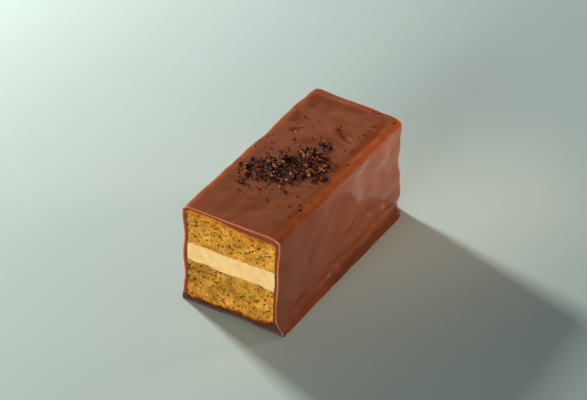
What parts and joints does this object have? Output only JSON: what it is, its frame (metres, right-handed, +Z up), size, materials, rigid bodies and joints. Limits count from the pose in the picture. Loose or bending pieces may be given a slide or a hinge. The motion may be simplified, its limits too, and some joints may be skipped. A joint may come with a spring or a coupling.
{
  "type": "cappuccino cream slice",
  "caption": "Bar-shaped cake slice: sponge, coffee cream and sponge in a milk chocolate coating with one cut end and crumbs across the top",
  "frame": {"origin": "centre of the base's box, on the surface that the slice stands on", "axes": "+Z up, Y along the slice with the cut end facing -Y, X across it"},
  "size_m": [0.0436, 0.0922, 0.0442],
  "materials": {
    "milk_chocolate": "set milk chocolate, satin gloss",
    "cocoa_crumb": "dry ground cocoa crumbs, matt with small glints",
    "golden_sponge": "cut sponge cake, open matt crumb",
    "coffee_cream": "cut buttercream, smooth satin"
  },
  "bodies": {
    "root": {"chocolate_coating": "milk_chocolate", "upper_sponge": "golden_sponge", "coffee_cream": "coffee_cream", "lower_sponge": "golden_sponge"}
  },
  "joints": []
}
